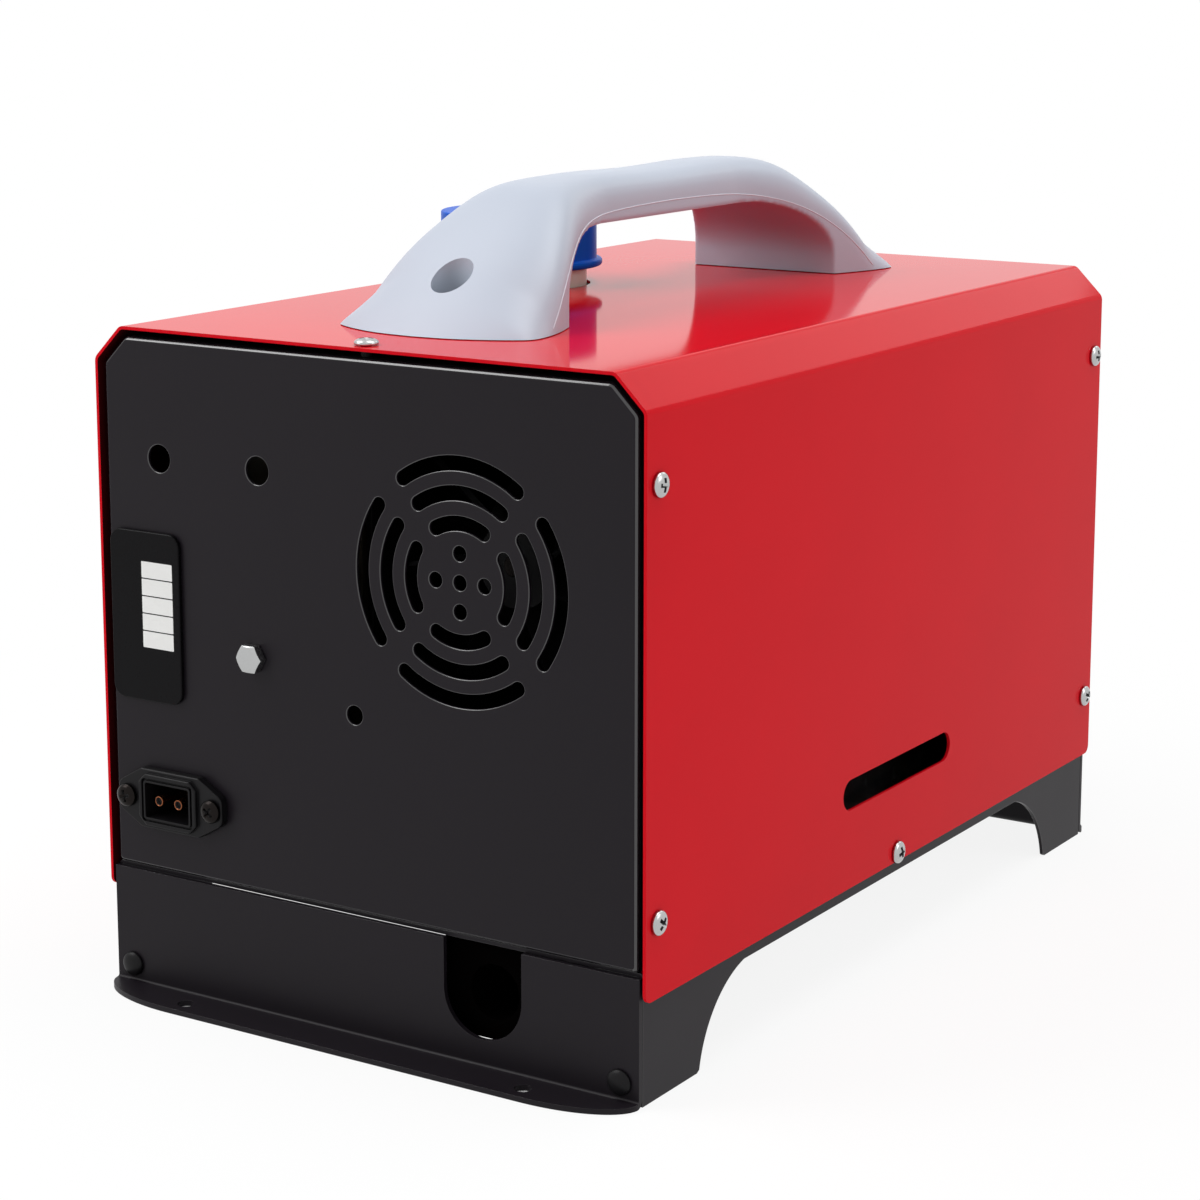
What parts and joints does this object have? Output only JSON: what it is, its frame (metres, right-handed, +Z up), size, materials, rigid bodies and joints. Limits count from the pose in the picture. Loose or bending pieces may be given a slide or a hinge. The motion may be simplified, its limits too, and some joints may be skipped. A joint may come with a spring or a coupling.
{
  "type": "portable diesel air heater",
  "caption": "Box-shaped portable diesel air heater with a red arched sheet shell, black end panels, footed base, grey carrying handle, filler cap, louvred outlet and power inlet.",
  "frame": {"origin": "on the floor under the middle of the case, midway between the base's two flanges", "axes": "+Z up, -Y towards the end with the intake grille and power inlet, +Y towards the warm-air outlet, +X towards the burner side"},
  "size_m": [0.2456, 0.407, 0.3051],
  "materials": {
    "red_paint": "gloss powder coat",
    "black_paint": "satin powder coat",
    "label_plastic": "satin printed film on a plate, with blank white cells",
    "black_plastic": "satin moulded",
    "grey_plastic": "satin moulded",
    "blue_plastic": "moulded",
    "tank_plastic": "natural blow-moulded polyethylene",
    "zinc": "bright zinc plate",
    "black_steel": "black plated or heat-proof black",
    "cast_aluminium": "as cast",
    "stainless": "drawn",
    "copper": "polished",
    "rubber": "matt",
    "screen": "smoked clear"
  },
  "bodies": {
    "casing": {"outer_shell": "red_paint", "rear_panel": "black_paint", "front_panel": "black_paint", "base_frame": "black_paint", "rear_apron": "black_paint", "front_apron": "black_paint", "rating_plate": "label_plastic", "screw_left_rear_upper": "zinc", "screw_left_rear_lower": "zinc", "screw_left_front_upper": "zinc", "screw_left_front_lower": "zinc", "screw_left_base": "zinc", "screw_right_rear_upper": "zinc", "screw_right_rear_lower": "zinc", "screw_right_front_upper": "zinc", "screw_right_front_lower": "zinc", "screw_right_base": "zinc", "screw_top_rear": "zinc", "apron_plug_rear_left": "black_plastic", "apron_plug_front_left": "black_plastic", "apron_plug_rear_right": "black_plastic", "apron_plug_front_right": "black_plastic", "carry_handle": "grey_plastic", "handle_screw_rear": "zinc", "handle_screw_front": "zinc", "fuel_tank": "tank_plastic", "tank_bolt": "zinc", "inlet_body": "black_plastic", "inlet_pin_left": "copper", "inlet_pin_right": "copper", "inlet_screw_left": "black_steel", "inlet_screw_right": "black_steel", "air_duct": "black_plastic", "heater_stand": "zinc", "heat_exchanger": "cast_aluminium", "burner_tube": "stainless", "glow_plug": "stainless", "blower_spider": "black_plastic", "fan_motor": "zinc", "control_unit": "black_plastic", "exhaust_pipe": "black_steel", "intake_stub": "black_plastic", "fuel_pump": "cast_aluminium", "suction_hose": "rubber", "feed_hose": "rubber", "outlet_collar": "black_plastic", "control_case": "black_plastic", "display_window": "screen"},
    "fan_rotor": {"motor_shaft": "zinc", "cooling_fan": "black_plastic", "combustion_fan": "cast_aluminium"},
    "cap_seal": {"cap_gasket": "rubber"},
    "filler_cap": {"fuel_cap": "blue_plastic"},
    "outlet": {"outlet_ring": "black_plastic"},
    "lower_vane": {"louvre_lower": "black_plastic"},
    "middle_vane": {"louvre_middle": "black_plastic"},
    "upper_vane": {"louvre_upper": "black_plastic"},
    "down_key": {"button_down": "rubber"},
    "power_key": {"button_power": "rubber"},
    "up_key": {"button_up": "rubber"}
  },
  "joints": [
    {"name": "fan_spin", "type": "hinge", "parent": "casing", "child": "fan_rotor", "pos_m": [0.044, -0.1, 0.1754], "axis": [0, 1, 0], "continuous": true},
    {"name": "cap_lift", "type": "slide", "parent": "casing", "child": "cap_seal", "axis": [0, 0, 1], "range_m": [0, 0.00601]},
    {"name": "cap_turn", "type": "hinge", "parent": "cap_seal", "child": "filler_cap", "pos_m": [-0.0614, 0.006, 0.27], "axis": [0, 0, 1], "range_deg": [0, 540]},
    {"name": "outlet_turn", "type": "hinge", "parent": "casing", "child": "outlet", "pos_m": [0.044, 0.19, 0.1754], "axis": [0, 1, 0], "continuous": true},
    {"name": "middle_louvre_tilt", "type": "hinge", "parent": "outlet", "child": "middle_vane", "pos_m": [0.044, 0.1836, 0.1754], "axis": [1, 0, 0], "range_deg": [-50, 50]},
    {"name": "lower_louvre_tilt", "type": "hinge", "parent": "outlet", "child": "lower_vane", "pos_m": [0.044, 0.1836, 0.1554], "axis": [1, 0, 0], "range_deg": [-50, 50]},
    {"name": "upper_louvre_tilt", "type": "hinge", "parent": "outlet", "child": "upper_vane", "pos_m": [0.044, 0.1836, 0.1954], "axis": [1, 0, 0], "range_deg": [-50, 50]},
    {"name": "down_press", "type": "slide", "parent": "casing", "child": "down_key", "axis": [0, -1, 0], "range_m": [0, 0.001], "stiffness_N_per_m": 400},
    {"name": "power_press", "type": "slide", "parent": "casing", "child": "power_key", "axis": [0, -1, 0], "range_m": [0, 0.001], "stiffness_N_per_m": 400},
    {"name": "up_press", "type": "slide", "parent": "casing", "child": "up_key", "axis": [0, -1, 0], "range_m": [0, 0.001], "stiffness_N_per_m": 400}
  ],
  "couplings": [
    {"joint": "cap_lift", "follows": "cap_turn", "m_per_rad": 0.00063662},
    {"joint": "lower_louvre_tilt", "follows": "middle_louvre_tilt", "ratio": 1},
    {"joint": "upper_louvre_tilt", "follows": "middle_louvre_tilt", "ratio": 1}
  ]
}
